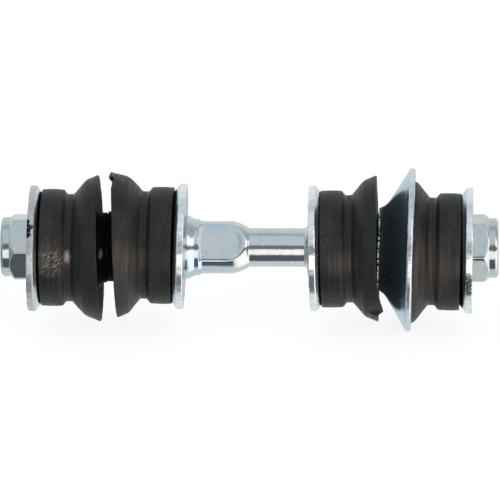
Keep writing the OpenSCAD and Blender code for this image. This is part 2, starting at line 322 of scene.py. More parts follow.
def grid_object(name, x, r, place, closed=True, lift=0.0, painted_cup_shade=None):
    """A mesh from stations and radii in rows along an outline and columns round the axis. lift is how far
    each point is moved up, and the shade painted into a cup is stored on the points for the material."""
    rows, columns = x.shape
    theta = angles(columns)
    y = front_way(place) * r * np.cos(theta)
    points = np.stack([x, y, r * np.sin(theta) + lift], -1).reshape(-1, 3) * MM
    faces = []
    for i in range(rows if closed else rows - 1):
        here, there = i * columns, (i + 1) % rows * columns
        for j in range(columns):
            k = (j + 1) % columns
            faces.append((here + j, here + k, there + k, there + j))
    points = [tuple(p) for p in points]
    if not closed:
        for row in (0, rows - 1):
            points.append((float(x[row].mean()) * MM, 0.0, 0.0))
            pole = len(points) - 1
            start = row * columns
            faces += [(start + j, start + (j + 1) % columns, pole) for j in range(columns)]
    mesh = bpy.data.meshes.new(name)
    mesh.from_pydata(points, [], faces)
    shaped = bmesh.new()
    shaped.from_mesh(mesh)
    bmesh.ops.recalc_face_normals(shaped, faces=shaped.faces)
    shaped.to_mesh(mesh)
    shaped.free()
    if painted_cup_shade is not None:
        mesh.attributes.new("painted_cup_shade", "FLOAT", "POINT").data.foreach_set("value", painted_cup_shade.ravel())
    mesh.shade_smooth()
    piece = bpy.data.objects.new(name, mesh)
    bpy.context.scene.collection.objects.link(piece)
    piece.matrix_world = place
    return piece


def turned_grid(corners, columns):
    """Stations and radii of a turned piece, in rows along its outline and columns round it."""
    outline = split(rounded(corners), OUTLINE_STEP)
    x = np.repeat(outline[:, :1], columns, 1)
    r = np.repeat(outline[:, 1:], columns, 1)
    return x, r


def smooth(share):
    share = np.clip(share, 0, 1)
    return share * share * (3 - 2 * share)


def nearness(x, r, at_x, at_r, reach):
    """1 at a place on an outline, falling to 0 away from it."""
    return np.exp(-((x - at_x) ** 2 + (r - at_r) ** 2) / (2 * reach ** 2))


# Rod

def softly_less(a, b, softness):
    """The lesser of two values, with a rounded edge where they cross."""
    h = np.clip(0.5 + 0.5 * (b - a) / softness, 0, 1)
    return b + (a - b) * h - softness * h * (1 - h)


def shoulder_corner(share):
    """A place on the arc that brings the barrel down to the shank."""
    first = math.radians(SHOULDER_SLOPE)
    last = 2 * math.atan((BARREL_R - SHANK_R) / SHOULDER_LEN) - first
    bend = SHOULDER_LEN / (math.sin(last) - math.sin(first))
    slope = first + (last - first) * share
    return (BARREL_END + bend * (math.sin(slope) - math.sin(first)),
            BARREL_R - bend * (math.cos(first) - math.cos(slope)))


def rod_outline(left_end, right_end):
    """Stations and radii from the left stud's end to the right one's, evenly fine along the rod."""
    core_r = STUD_R - THREAD_DEPTH - CORE_INSET
    plain_r = STUD_R - POLE_R
    core_left, core_right = left_end + CORE_INSET, right_end - CORE_INSET
    plain_left, plain_right = left_end + THREAD_LEN - CORE_INSET, right_end - THREAD_LEN + CORE_INSET
    corners = [
        (core_left, 0.0, 0.0),
        (core_left, STUD_R - STUD_CHAMFER, STUD_EDGE),
        (left_end + STUD_CHAMFER, core_r, STUD_EDGE),
        (plain_left, core_r, 0.0),
        (plain_left, plain_r, 0.0),
        (0.0, plain_r, STUD_EDGE),
        (0.0, FLANGE_R, FLANGE_EDGE),
        (FLANGE_T, FLANGE_R, FLANGE_EDGE),
        *FLARE,
        (BARREL_START, BARREL_R, FLARE_BLEND),
        *[(*shoulder_corner(k / SHOULDER_STEPS), 0.0) for k in range(SHOULDER_STEPS)],
        (*shoulder_corner(1), SHOULDER_FILLET),
        (SEAT_SPAN - COLLAR_T, SHANK_R, COLLAR_FILLET),
        (SEAT_SPAN - COLLAR_T, COLLAR_R, FLANGE_EDGE),
        (SEAT_SPAN, COLLAR_R, FLANGE_EDGE),
        (SEAT_SPAN, plain_r, STUD_EDGE),
        (plain_right, plain_r, 0.0),
        (plain_right, core_r, 0.0),
        (right_end - STUD_CHAMFER, core_r, STUD_EDGE),
        (core_right, STUD_R - STUD_CHAMFER, STUD_EDGE),
        (core_right, 0.0, 0.0),
    ]
    points = rounded(corners)
    middle = split(points, ROD_STEP)
    studs = split(points, STUD_STEP)
    outline = np.concatenate([
        studs[studs[:, 0] < 0], middle[(middle[:, 0] >= 0) & (middle[:, 0] <= SEAT_SPAN)],
        studs[studs[:, 0] > SEAT_SPAN],
    ])
    return outline[outline[:, 1] > POLE_R]


def press_flats(x, r):
    """The two wrench flats, with a wall on the left, a rounded end on the right and soft long edges."""
    theta = angles(r.shape[1])
    for roll in (FLAT_ROLL, FLAT_ROLL + 180):
        off = np.radians(off_by(theta, roll))
        plane = FLAT_HALF / np.maximum(np.cos(off), FLAT_FACING)
        across = np.minimum(np.abs(plane * np.sin(off)), FLAT_ROUND)
        end = FLAT_START + FLAT_LEN - FLAT_ROUND + np.sqrt(FLAT_ROUND ** 2 - across ** 2)
        share = smooth(0.5 + (x - FLAT_START) / FLAT_WALL) * smooth(0.5 + (end - x) / FLAT_END_WALL)
        r = r + (softly_less(r, plane, FLAT_EDGE) - r) * share
    return r


def build_rod(left_end, right_end, place):
    outline = rod_outline(left_end, right_end)
    x = np.repeat(outline[:, :1], ROD_COLUMNS, 1)
    r = np.repeat(outline[:, 1:], ROD_COLUMNS, 1)
    return grid_object("rod_forging", x, press_flats(x, r), place, closed=False)


def build_thread(name, place):
    """The rolled thread of one stud, from its end inwards."""
    rows = round(THREAD_LEN / THREAD_PITCH * THREAD_STEPS)
    theta = angles(THREAD_COLUMNS)
    x = np.repeat(np.linspace(0, THREAD_LEN, rows)[:, None], THREAD_COLUMNS, 1)
    turn = (x / THREAD_PITCH + theta / (2 * math.pi)) % 1
    flank = np.clip((np.abs(turn - 0.5) * 2 - THREAD_CREST) / (1 - 2 * THREAD_CREST), 0, 1)
    r = STUD_R - THREAD_DEPTH * flank
    chamfer = STUD_R - STUD_CHAMFER + x
    r = np.minimum(r, chamfer)
    runout = np.clip((THREAD_LEN - x) / THREAD_PITCH, 0, 1)
    r = STUD_R * (1 - runout) + r * runout
    x = np.concatenate([x[:1], x[:1], x])
    r = np.concatenate([np.full_like(r[:1], POLE_R), r[:1] - STUD_EDGE, r])
    return grid_object(name, x, r, place, closed=False)


# Washers, bushes and dish

def wavering_rim(x, r, rim_x, rim_r, seed):
    """The same grid with a sheared rim that is a little uneven."""
    theta = angles(r.shape[1])
    rim = RIM_WAVER * nearness(x, r, rim_x, rim_r, RIM_REACH)
    return x + rim * ripple(theta, seed + 1, RIM_WAVES), r + rim * ripple(theta, seed, RIM_WAVES)


def build_washer(name, place, seed):
    centre_r = WASHER_R - WASHER_DEPTH / math.tan(math.radians(WASHER_ANGLE))
    corners = [
        (0.0, WASHER_BORE_R, WASHER_EDGE),
        (0.0, centre_r, WASHER_BEND),
        (-WASHER_DEPTH, WASHER_R, WASHER_EDGE),
        (WASHER_T - WASHER_DEPTH, WASHER_R, WASHER_ROLLOVER),
        (WASHER_T, centre_r, WASHER_BEND),
        (WASHER_T, WASHER_BORE_R, WASHER_EDGE),
    ]
    x, r = turned_grid(corners, TURNED_COLUMNS)
    x, r = wavering_rim(x, r, WASHER_T / 2 - WASHER_DEPTH, WASHER_R, seed)
    return grid_object(name, x, r, place)


def flap(theta, start, end, at_start, at_end):
    """How far a stretch of a lip stands out between two angles, with a torn step at either end."""
    share = off_by(theta, start) / (end - start)
    inside = smooth(0.5 + np.minimum(share, 1 - share) * abs(end - start) / FLAP_EDGE)
    return (at_start + (at_end - at_start) * np.clip(share, 0, 1)) * inside


def build_bush(name, place, lip_r, lip_x, own, seed):
    """Band, groove, flared skirt with a thin lip, cup and nose, in the shape that is a bush's own."""
    end = BUSH_LEN + own["nose"]
    corners = [
        (RECESS_DEPTH, BUSH_BORE_R, BUSH_EDGE),
        (RECESS_DEPTH, RECESS_FLOOR_R, BUSH_EDGE),
        (0.0, RECESS_MOUTH_R, NOSE_EDGE),
        (0.0, BAND_R, BAND_EDGE),
        (BAND_LEN, BAND_R, BAND_EDGE),
        (GROOVE_START, GROOVE_R, GROOVE_ROUND),
        (GROOVE_END, GROOVE_R, GROOVE_ROUND),
        (KNEE_X, KNEE_R, KNEE_ROUND),
        (lip_x, lip_r, LIP_EDGE),
        (lip_x, lip_r - LIP_T, LIP_EDGE),
        (CUP_FLOOR, NOSE_R, NOSE_FILLET),
        (end, NOSE_R, NOSE_EDGE),
        (end, BUSH_BORE_R, BUSH_EDGE),
    ]
    x, r = turned_grid(corners, TURNED_COLUMNS)
    theta = angles(TURNED_COLUMNS)
    # Painted shade: the inside of the cup is marked nearly black, easing off a little towards the lip
    out = (r - NOSE_R) / (lip_r - LIP_T - NOSE_R)
    along = (x - CUP_FLOOR) / (lip_x - CUP_FLOOR)
    in_cup = (x > CUP_FLOOR - CUP_MARGIN) & (out - along < LIP_T / 2 / lip_r)
    painted_cup_shade = own["cup_shade_amount"] * in_cup * (1 - CUP_SHADE_EASE * smooth(out))
    lift = -own["nose_drop"] * smooth((x - CUP_FLOOR) / NOSE_BEND) * smooth(1 - (r - NOSE_R) / NOSE_FILLET)
    band = np.clip(1 - (2 * x / BAND_LEN - 1) ** 2, 0, 1) * (r > RECESS_MOUTH_R)
    lip = nearness(x, r, lip_x, lip_r - LIP_T / 2, LIP_REACH)
    torn_lip = nearness(x, r, lip_x, lip_r - LIP_T / 2, FLAP_REACH)
    skirt = smooth((x - GROOVE_END) / (lip_x - GROOVE_END)) * smooth((r - NOSE_R) / (lip_r - NOSE_R))
    r = r + BAND_CROWN * band + lip * LIP_WAVER * ripple(theta, seed, LIP_WAVES)
    r = r + own["droop"] * skirt * np.clip(-np.sin(theta), 0, 1) ** 2
    x = x + lip * LIP_WAVER * ripple(theta, seed + 1, LIP_WAVES)
    at, amount = own["lean"]
    x = x + skirt * (own["longer"] + amount * np.cos(np.radians(off_by(theta, at))))
    for torn in own["flaps"]:
        out_by = torn_lip * flap(theta, *torn)
        x = x + out_by
        r = r - FLAP_SAG * np.maximum(out_by, 0)
    return grid_object(name, x, r, place, lift=lift, painted_cup_shade=painted_cup_shade)


def trumpet_curve(end_r, line_r):
    """Corners of the dish's curve, from a radius at its neck's end to its straight flare, whose line would
    cross the neck's end at line_r."""
    first, last = math.radians(NECK_SLOPE), math.radians(DISH_ANGLE)
    run, rise = math.sin(last) - math.sin(first), math.cos(first) - math.cos(last)
    bend = (end_r - line_r) / (run * math.tan(last) - rise)
    slopes = [first + (last - first) * k / TRUMPET_STEPS for k in range(TRUMPET_STEPS + 1)]
    return [(bend * (math.sin(s) - math.sin(first)), end_r + bend * (math.cos(first) - math.cos(s)),
             NECK_EDGE if s == first else 0.0) for s in slopes]


def build_dish(name, place, seed):
    slope = math.tan(math.radians(DISH_ANGLE))
    end = DISH_DEPTH + DISH_T
    corners = [
        *trumpet_curve(NECK_R, DISH_R - DISH_RIM - DISH_DEPTH * slope),
        (DISH_DEPTH, DISH_R - DISH_RIM, RIM_BEND),
        (DISH_DEPTH + RIM_SLANT, DISH_R, DISH_EDGE),
        (end, DISH_R, DISH_EDGE),
        (end, DISH_R - DISH_RIM, NECK_EDGE),
        *reversed(trumpet_curve(NECK_BORE_R, DISH_R - DISH_RIM - end * slope)),
    ]
    x, r = turned_grid(corners, TURNED_COLUMNS)
    x, r = wavering_rim(x, r, DISH_DEPTH + DISH_T / 2, DISH_R, seed)
    return grid_object(name, x, r, place)


# Lock nuts

def build_nut(name, place, roll):
    """Hexagon cut from a chamfered round blank, with a round collar, a groove for the ring, and a bore."""
    sector = 360 / HEX_SIDES
    blank_r = NUT_HALF / math.cos(math.radians(sector / 2)) + BLANK_MARGIN
    rise = (blank_r - HEX_FACE_R) * math.tan(math.radians(HEX_CHAMFER))
    fall = (blank_r - NUT_COLLAR_R) * math.tan(math.radians(HEX_TOP_CHAMFER))
    groove_start, groove_end = RING_BASE - RING_GAP, RING_BASE + RING_H + RING_GAP
    corners = [
        (NUT_BORE_CHAMFER, NUT_BORE_R, NUT_BORE_EDGE),
        (0.0, NUT_BORE_R + NUT_BORE_CHAMFER, NUT_BORE_EDGE),
        (0.0, HEX_FACE_R, FACE_EDGE),
        (rise, blank_r, 0.0),
        (HEX_H - HEX_TOP_INSET - fall, blank_r, 0.0),
        (HEX_H - HEX_TOP_INSET, NUT_COLLAR_R, NUT_COLLAR_FILLET),
        (NUT_H, NUT_COLLAR_R, NUT_ROUND),
        (NUT_H, MOUTH_R, MOUTH_EDGE),
        (groove_end, MOUTH_R, 0.0),
        (groove_end, RING_R + RING_GAP, 0.0),
        (groove_start, RING_R + RING_GAP, 0.0),
        (groove_start, NUT_BORE_R, NUT_BORE_EDGE),
    ]
    outline = split(rounded(corners), NUT_STEP)
    x = np.repeat(outline[:, :1], NUT_COLUMNS, 1)
    r = np.repeat(outline[:, 1:], NUT_COLUMNS, 1)
    theta = angles(NUT_COLUMNS)
    off = np.radians((np.degrees(theta) - roll) % sector - sector / 2)
    hexagon = NUT_HALF / np.cos(off)
    hexagon = softly_less(hexagon, np.full_like(hexagon, blank_r - CORNER_CUT), CORNER_SOFTNESS)
    outer = (r > HEX_FACE_R - FACE_EDGE) & (x < HEX_H)
    r = np.where(outer, softly_less(r, hexagon + np.zeros_like(r), HEX_SOFTNESS), r)
    return grid_object(name, x, r, place)


def build_ring(name, place):
    corners = [
        (RING_BASE, NUT_BORE_R, RING_EDGE),
        (RING_BASE, RING_R, RING_EDGE),
        (RING_BASE + RING_H, RING_R, RING_EDGE),
        (RING_BASE + RING_H, NUT_BORE_R, RING_LEAD),
    ]
    x, r = turned_grid(corners, RING_COLUMNS)
    return grid_object(name, x, r, place)


# Materials

SPOT_CORE = 0.35
RAGGED_SCALE = 1.1
HATCH_DETAIL = 2


class Shade:
    """Short ways to add nodes to one node tree. Places are in millimetres along a piece's own axes."""

    def __init__(self, tree):
        self.nodes = tree.nodes
        self.links = tree.links

    def feed(self, socket, value):
        """Sets a socket from another socket, a number or a row of numbers."""
        if isinstance(value, bpy.types.NodeSocket):
            self.links.new(value, socket)
        else:
            socket.default_value = value

    def math(self, operation, first, second=0.0):
        node = self.nodes.new("ShaderNodeMath")
        node.operation = operation
        self.feed(node.inputs[0], first)
        self.feed(node.inputs[1], second)
        return node.outputs[0]

    def vector(self, operation, first, second=(0, 0, 0)):
        node = self.nodes.new("ShaderNodeVectorMath")
        node.operation = operation
        self.feed(node.inputs[0], first)
        self.feed(node.inputs[1], second)
        flat = operation in ("LENGTH", "DISTANCE", "DOT_PRODUCT")
        return node.outputs["Value" if flat else "Vector"]

    def place(self, stretch=(1, 1, 1)):
        return self.vector("MULTIPLY", self.nodes.new("ShaderNodeTexCoord").outputs["Object"],
                           [s / MM for s in stretch])

    def noise(self, place, scale, detail=3):
        node = self.nodes.new("ShaderNodeTexNoise")
        node.inputs["Scale"].default_value = scale
        node.inputs["Detail"].default_value = detail
        self.feed(node.inputs["Vector"], place)
        return node.outputs["Fac"]

    def dots(self, place, scale):
        """How far each place is from the nearest of many scattered points, in millimetres."""
        node = self.nodes.new("ShaderNodeTexVoronoi")
        node.inputs["Scale"].default_value = scale
        self.feed(node.inputs["Vector"], place)
        return self.math("DIVIDE", node.outputs["Distance"], scale)

    def stored(self, name):
        """A value that is stored on a mesh's points."""
        node = self.nodes.new("ShaderNodeAttribute")
        node.attribute_name = name
        return node.outputs["Fac"]

    def hatch(self, place, tilt, fine, long):
        """Fine lines across a piece's front, tilted by some degrees from its axis."""
        c, s = math.cos(math.radians(tilt)), math.sin(math.radians(tilt))
        node = self.nodes.new("ShaderNodeCombineXYZ")
        self.feed(node.inputs[0], self.vector("DOT_PRODUCT", place, (c * long, 0, s * long)))
        self.feed(node.inputs[1], self.vector("DOT_PRODUCT", place, (-s * fine, 0, c * fine)))
        return self.noise(node.outputs[0], 1.0, HATCH_DETAIL)

    def spread(self, value, low, high, to_low=0.0, to_high=1.0):
        node = self.nodes.new("ShaderNodeMapRange")
        for index, number in enumerate((value, low, high, to_low, to_high)):
            self.feed(node.inputs[index], number)
        return node.outputs[0]

    def near(self, place, spots, core=SPOT_CORE, ragged=0.0):
        """1 close to any of some spots (place, reach), and 0 away from all of them. core is the share of
        the reach that is wholly 1, and ragged how uneven a spot's outline is."""
        total = 0.0
        wander = self.spread(self.noise(place, RAGGED_SCALE), 0, 1, -ragged, ragged)
        for at, reach in spots:
            apart = self.math("ADD", self.vector("DISTANCE", place, at), wander)
            total = self.math("MAXIMUM", self.spread(apart, reach, core * reach), total)
        return total

    def ramp(self, value, stops):
        node = self.nodes.new("ShaderNodeValToRGB")
        elements = node.color_ramp.elements
        while len(elements) < len(stops):
            elements.new(0.5)  # its place follows below
        for element, (position, colour) in zip(elements, stops):
            element.position = position
            element.color = (*colour, 1)
        self.feed(node.inputs["Fac"], value)
        return node.outputs["Color"]

    def mix(self, share, first, second):
        """Two colours mixed by a share. A colour is a socket or three numbers."""
        node = self.nodes.new("ShaderNodeMix")
        node.data_type = "RGBA"
        self.feed(node.inputs[0], share)
        for index, colour in ((6, first), (7, second)):
            plain = not isinstance(colour, bpy.types.NodeSocket)
            self.feed(node.inputs[index], (*colour, 1) if plain else colour)
        return node.outputs[2]

    def bump(self, height, depth, below=None):
        node = self.nodes.new("ShaderNodeBump")
        node.inputs["Distance"].default_value = depth * MM
        self.feed(node.inputs["Height"], height)
        if below is not None:
            self.feed(node.inputs["Normal"], below)
        return node.outputs["Normal"]


# Zinc plate. Noise scales are waves a millimetre, stretches are such scales along X, Y and Z,
# and ranges are the noise's values between which an effect sets in.
CLOUD_SCALE = 0.13
CLOUD_RANGE = (0.42, 0.62)
PATCH_SCALE = 0.7
PATCH_RANGE = (0.5, 0.8)
PATCH_SHARE = 0.3
PATCH_DARK = 0.62
GRAIN_SCALE = 3.2
GRAIN_RANGE = (0.64, 0.76)
GRAIN_SHARE = 0.5
GRAIN_DARK = 0.4
GRAIN_DEPTH = 0.008
WIDE_RANGE = (0.3, 0.7)
TURNING_STRETCH = (6, 0.25, 0.25)
TURNING_DETAIL = 2
TURNING_DEPTH = 0.006
WAVE_SCALE = 0.35
WAVE_DETAIL = 1
WAVE_DEPTH = 0.05
STREAK_STRETCH = (0.5, 2.6, 2.6)
STREAK_DETAIL = 4
STREAK_RANGE = (0.5, 0.7)
STREAK_DEPTH = 0.03
# Dark streaky spots on washer edges: plating come off, and on one washer a painted dark reflection band
DARK_STREAK_STRETCH = (0.9, 1.8, 1.8)
DARK_STREAK_LEVEL = 0.68
DARK_STREAK_EASE = 0.38
DARK_STREAK_WIDTH = 0.08
BURR_SCALE = 1.3
BURR_DETAIL = 2
BURR_RANGE = (0.46, 0.52)
# Near-black of the dark spots: plating come off, or a painted dark reflection
SOOT_AND_PAINTED_BAND = (0.015, 0.015, 0.016)
STREAK_DARK = 0.7
SHEARED_METAL = 0.94
BURR = (0.85, 0.86, 0.86)
BURR_LEN = 0.5
EDGE_DEPTH = 0.3
# Outline of the dark spots, whether come-off plating or painted dark reflection
DARK_SPOT_CORE = 0.7
DARK_SPOT_RAGGED = 0.6


def darker(colour, share):
    return tuple(share * c for c in colour)


def new_material(name):
    material = bpy.data.materials.new(name)
    material.use_nodes = True
    return material, Shade(material.node_tree), material.node_tree.nodes["Principled BSDF"]


def make_zinc(name, blue, warm, finish, grain_depth=GRAIN_DEPTH, film=0.0, warmer=None, edge=None, chips_and_painted_band=(),
              darkened_share=1.0, burr=False):
    """Zinc plate: a tint that drifts from bluish to warm, fine grain, faint turning lines and waviness.
    finish is its least and greatest roughness, and film the share of a milky film on it. warmer is where
    along the piece it turns warm. edge is the radius beyond which the plating is sheared through, with the
    finish and colour there. chips are dark spots, darkened by a share: plating come off on one washer, and
    on another a painted dark reflection in a band below the front. A burr is a pale ragged line at station
    0."""
    material, shade, shader = new_material(name)
    place = shade.place()
    clouds = shade.noise(place, CLOUD_SCALE)
    patches = shade.noise(place, PATCH_SCALE)
    grain = shade.noise(place, GRAIN_SCALE)
    lines = shade.noise(shade.place(TURNING_STRETCH), 1.0, TURNING_DETAIL)
    station = shade.vector("DOT_PRODUCT", place, (1, 0, 0))
    warmth = shade.spread(clouds, *CLOUD_RANGE)
    if warmer:
        warmth = shade.math("MAXIMUM", warmth, shade.spread(station, *warmer))
    colour = shade.mix(warmth, blue, warm)
    dull = shade.spread(patches, *PATCH_RANGE, 0.0, PATCH_SHARE)
    colour = shade.mix(dull, colour, darker(blue, PATCH_DARK))
    pits = shade.spread(grain, *GRAIN_RANGE, 0.0, GRAIN_SHARE)
    colour = shade.mix(pits, colour, darker(warm, GRAIN_DARK))
    rough = shade.spread(grain, *WIDE_RANGE, *finish)
    metal = 1.0 - film
    normal = shade.bump(shade.noise(place, WAVE_SCALE, WAVE_DETAIL), WAVE_DEPTH)
    normal = shade.bump(grain, grain_depth, normal)
    normal = shade.bump(lines, TURNING_DEPTH, normal)
    if edge:
        edge_r, edge_finish, edge_colour = edge
        radius = shade.vector("LENGTH", shade.vector("MULTIPLY", place, (0, 1, 1)))
        bare_and_glints = shade.spread(radius, edge_r - EDGE_DEPTH, edge_r - EDGE_DEPTH / 3)
        streaks = shade.noise(shade.place(STREAK_STRETCH), 1.0, STREAK_DETAIL)
        streaked = shade.spread(streaks, *STREAK_RANGE)
        sheared = shade.mix(streaked, edge_colour, darker(edge_colour, STREAK_DARK))
        colour = shade.mix(bare_and_glints, colour, sheared)
        rough = shade.spread(bare_and_glints, 0, 1, rough, shade.spread(streaks, *WIDE_RANGE, *edge_finish))
        metal = shade.spread(bare_and_glints, 0, 1, metal, SHEARED_METAL)
        normal = shade.bump(shade.math("MULTIPLY", streaks, bare_and_glints), STREAK_DEPTH, normal)
    # Dark spots: plating come off, and on the right outer washer a painted dark reflection band
    if chips_and_painted_band:
        dark_streaks = shade.noise(shade.place(DARK_STREAK_STRETCH), 1.0)
        level = DARK_STREAK_LEVEL - DARK_STREAK_EASE * darkened_share
        dark_streaks = shade.spread(dark_streaks, level, level + DARK_STREAK_WIDTH, 0.0, darkened_share)
        spots = shade.near(place, chips_and_painted_band, DARK_SPOT_CORE, DARK_SPOT_RAGGED)
        colour = shade.mix(shade.math("MULTIPLY", dark_streaks, spots), colour, SOOT_AND_PAINTED_BAND)
    if burr:
        ragged = shade.spread(shade.noise(place, BURR_SCALE, BURR_DETAIL), *BURR_RANGE)
        ragged = shade.math("MULTIPLY", ragged, shade.spread(station, BURR_LEN, BURR_LEN / 2))
        colour = shade.mix(ragged, colour, BURR)
        metal = shade.math("MULTIPLY", metal, shade.math("SUBTRACT", 1.0, ragged))
    shade.feed(shader.inputs["Metallic"], metal)
    shade.feed(shader.inputs["Base Color"], colour)
    shade.feed(shader.inputs["Roughness"], rough)
    shade.feed(shader.inputs["Normal"], normal)
    return material


# Rubber, with noise scales, stretches and ranges as for the zinc plate
DUSTY_SCALE = 0.16
DUSTY_DETAIL = 5
DUSTY_RANGE = (0.32, 0.68)
MOULD_STRETCH = (1.1, 0.05, 0.05)
MOULD_DETAIL = 4
MOULD_RANGE = (0.5, 0.72)
MOULD_SHARE = 0.6
MOULD_DEPTH = 0.06
MOTTLE_SCALE = 2.6
MOTTLE_DETAIL = 4
MOTTLE_RANGE = (0.58, 0.8)
MOTTLE_SHARE = 0.5
MOTTLE_DEPTH = 0.03
SPECK_SCALE = 0.25
SPECK_R = 0.27
SPECK_CORE = 0.4
SPECK_SHARE = 0.8
# Brown smears, partly a painted warm sheen: where they follow the mould rings
SMEAR_AND_SHEEN_RANGE = (0.36, 0.6)
STROKE_TILT = 38
STROKE_FINE = 2.9
STROKE_LONG = 0.5
STROKE_RANGE = (0.52, 0.64)
BREAK_SCALE = 0.8
BREAK_RANGE = (0.36, 0.52)
RUBBER_FINISH = (0.36, 0.56)
RUBBER_DARK = (0.0085, 0.0083, 0.0078)
RUBBER_PALE = (0.0175, 0.0165, 0.015)
RUBBER_RINGS = (0.028, 0.026, 0.0235)
DUST = (0.10, 0.098, 0.09)
SCUFFED = (0.27, 0.235, 0.205)
# Colour of the brown smears, which also paint a warm sheen of light on the fronts and flares
SMEAR_AND_SHEEN = (0.044, 0.036, 0.030)
# Pale pinkish painted glints in place of a lamp's highlight, and how they are shaped
PAINTED_GLINT = (0.34, 0.285, 0.26)
GLINT_CORE = 0.05
GLINT_RAGGED = 0.7
GLINT_STRETCH = (1.25, 0.55, 0.55)
GLINT_RANGE = (0.35, 0.6)
GLINT_LEAST = 0.45
# Painted shade inside the cup, and the little gloss left there
PAINTED_CUP_SHADE = (0.006, 0.006, 0.0055)
RUBBER_GLOSS = 0.23
CUP_GLOSS = 0.02


def make_rubber(name, scuffs, smears_and_sheen, bare_and_glints):
    """Moulded black rubber: dusty clouds, rings from the mould, fine grain and pale specks. Some spots are
    scuffed with short strokes. Brown smears also paint a warm sheen of light, pale spots paint a lamp's
    glints, and the inside of the cup is painted nearly black as shade."""
    material, shade, shader = new_material(name)
    place = shade.place()
    clouds = shade.noise(place, DUSTY_SCALE, DUSTY_DETAIL)
    mottle = shade.noise(place, MOTTLE_SCALE, MOTTLE_DETAIL)
    lines = shade.noise(shade.place(MOULD_STRETCH), 1.0, MOULD_DETAIL)
    specks = shade.dots(place, SPECK_SCALE)
    specks = shade.spread(specks, SPECK_R, SPECK_CORE * SPECK_R, 0.0, SPECK_SHARE)
    painted_cup_shade = shade.stored("painted_cup_shade")
    colour = shade.mix(shade.spread(clouds, *DUSTY_RANGE), RUBBER_DARK, RUBBER_PALE)
    colour = shade.mix(shade.spread(lines, *MOULD_RANGE, 0.0, MOULD_SHARE), colour, RUBBER_RINGS)
    colour = shade.mix(shade.spread(mottle, *MOTTLE_RANGE, 0.0, MOTTLE_SHARE), colour, DUST)
    colour = shade.mix(specks, colour, DUST)
    # Brown smears, partly stain and partly a painted warm sheen of light on the fronts and flares
    if smears_and_sheen:
        smear_and_sheen = shade.math("MULTIPLY", shade.spread(lines, *SMEAR_AND_SHEEN_RANGE), shade.near(place, smears_and_sheen))
        colour = shade.mix(smear_and_sheen, colour, SMEAR_AND_SHEEN)
    # Painted shade: the inside of the cup turns nearly black
    colour = shade.mix(painted_cup_shade, colour, PAINTED_CUP_SHADE)
    if scuffs:
        strokes = shade.spread(shade.hatch(place, STROKE_TILT, STROKE_FINE, STROKE_LONG), *STROKE_RANGE)
        broken = shade.spread(shade.noise(place, BREAK_SCALE), *BREAK_RANGE)
        scuff = shade.math("MULTIPLY", shade.math("MULTIPLY", strokes, broken), shade.near(place, scuffs))
        colour = shade.mix(scuff, colour, SCUFFED)
    # Painted highlight: pale ragged spots in the groove and on the nose stand in for a lamp's glints
    if bare_and_glints:
        stretched = shade.vector("MULTIPLY", place, GLINT_STRETCH)
        spots = [(np.multiply(at, GLINT_STRETCH).tolist(), reach) for at, reach in bare_and_glints]
        glint_spots = shade.near(stretched, spots, GLINT_CORE, GLINT_RAGGED)
        glint_spots = shade.math("MULTIPLY", glint_spots, shade.spread(mottle, *GLINT_RANGE, GLINT_LEAST, 1.0))
        colour = shade.mix(glint_spots, colour, PAINTED_GLINT)
    shade.feed(shader.inputs["Base Color"], colour)
    shade.feed(shader.inputs["Roughness"], shade.spread(lines, *WIDE_RANGE, *RUBBER_FINISH))
    # The gloss fades where the cup's shade is painted
    shade.feed(shader.inputs["Specular IOR Level"], shade.spread(painted_cup_shade, 0, 1, RUBBER_GLOSS, CUP_GLOSS))
    normal = shade.bump(mottle, MOTTLE_DEPTH)
    shade.feed(shader.inputs["Normal"], shade.bump(lines, MOULD_DEPTH, normal))
    return material


NYLON_DARK = (0.66, 0.66, 0.6)
NYLON_PALE = (0.78, 0.78, 0.72)
NYLON_SCALE = 0.8
NYLON_FINISH = (0.35, 0.5)
NYLON_DEPTH = 0.05


def make_nylon(name):
    """Milky nylon, slightly cloudy and uneven."""
    material, shade, shader = new_material(name)
    clouds = shade.noise(shade.place(), NYLON_SCALE)
    colour = shade.mix(shade.spread(clouds, *WIDE_RANGE), NYLON_DARK, NYLON_PALE)
    shade.feed(shader.inputs["Base Color"], colour)
    shade.feed(shader.inputs["Roughness"], shade.spread(clouds, *WIDE_RANGE, *NYLON_FINISH))
    shade.feed(shader.inputs["Normal"], shade.bump(clouds, NYLON_DEPTH))
    return material


# Assembly

def finish_piece(piece, material, body, node=None):
    piece.data.materials.append(material)
    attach(piece, body)
    if node:
        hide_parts(node)


def on_piece(place, station, radius, degrees):
    """A spot of a turned piece, in millimetres along its own axes."""
    a = math.radians(degrees)
    return station, front_way(place) * radius * math.cos(a), radius * math.sin(a)


SEAT_MARGIN = 0.05


def left_seat_station():
    """Where the rod's left washer seat lies along X: the flange is the rod's widest place."""
    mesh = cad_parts["link_rod"].data
    wide = [v.co.x for v in mesh.vertices if math.hypot(v.co.y, v.co.z) > (FLANGE_R - SEAT_MARGIN) * MM]
    return sum((min(wide), max(wide))) / 2 - FLANGE_T / 2 * MM


ZINC_BLUE = (0.525, 0.625, 0.69)
ZINC_WARM = (0.64, 0.655, 0.645)
NUT_BLUE = (0.55, 0.60, 0.59)
NUT_WARM = (0.59, 0.60, 0.585)
DISH_BLUE = (0.47, 0.60, 0.66)
EDGE_PALE = (0.88, 0.885, 0.88)
EDGE_BLUE = (0.70, 0.745, 0.78)
EDGE_GREY = (0.60, 0.60, 0.59)
ROD_FINISH = (0.08, 0.18)
ROD_WARMER = (9.0, 16.0)
DISH_FINISH = (0.2, 0.28)
DISH_GRAIN = 0.002
DISH_FILM = 0.035
NUT_FINISH = (0.07, 0.16)
WASHER_FINISH = (0.15, 0.22)
WASHER_GRAIN = 0.003
BRIGHT_EDGE = (0.2, 0.32)
DULL_EDGE = (0.36, 0.46)
MIRROR_EDGE = (0.1, 0.2)

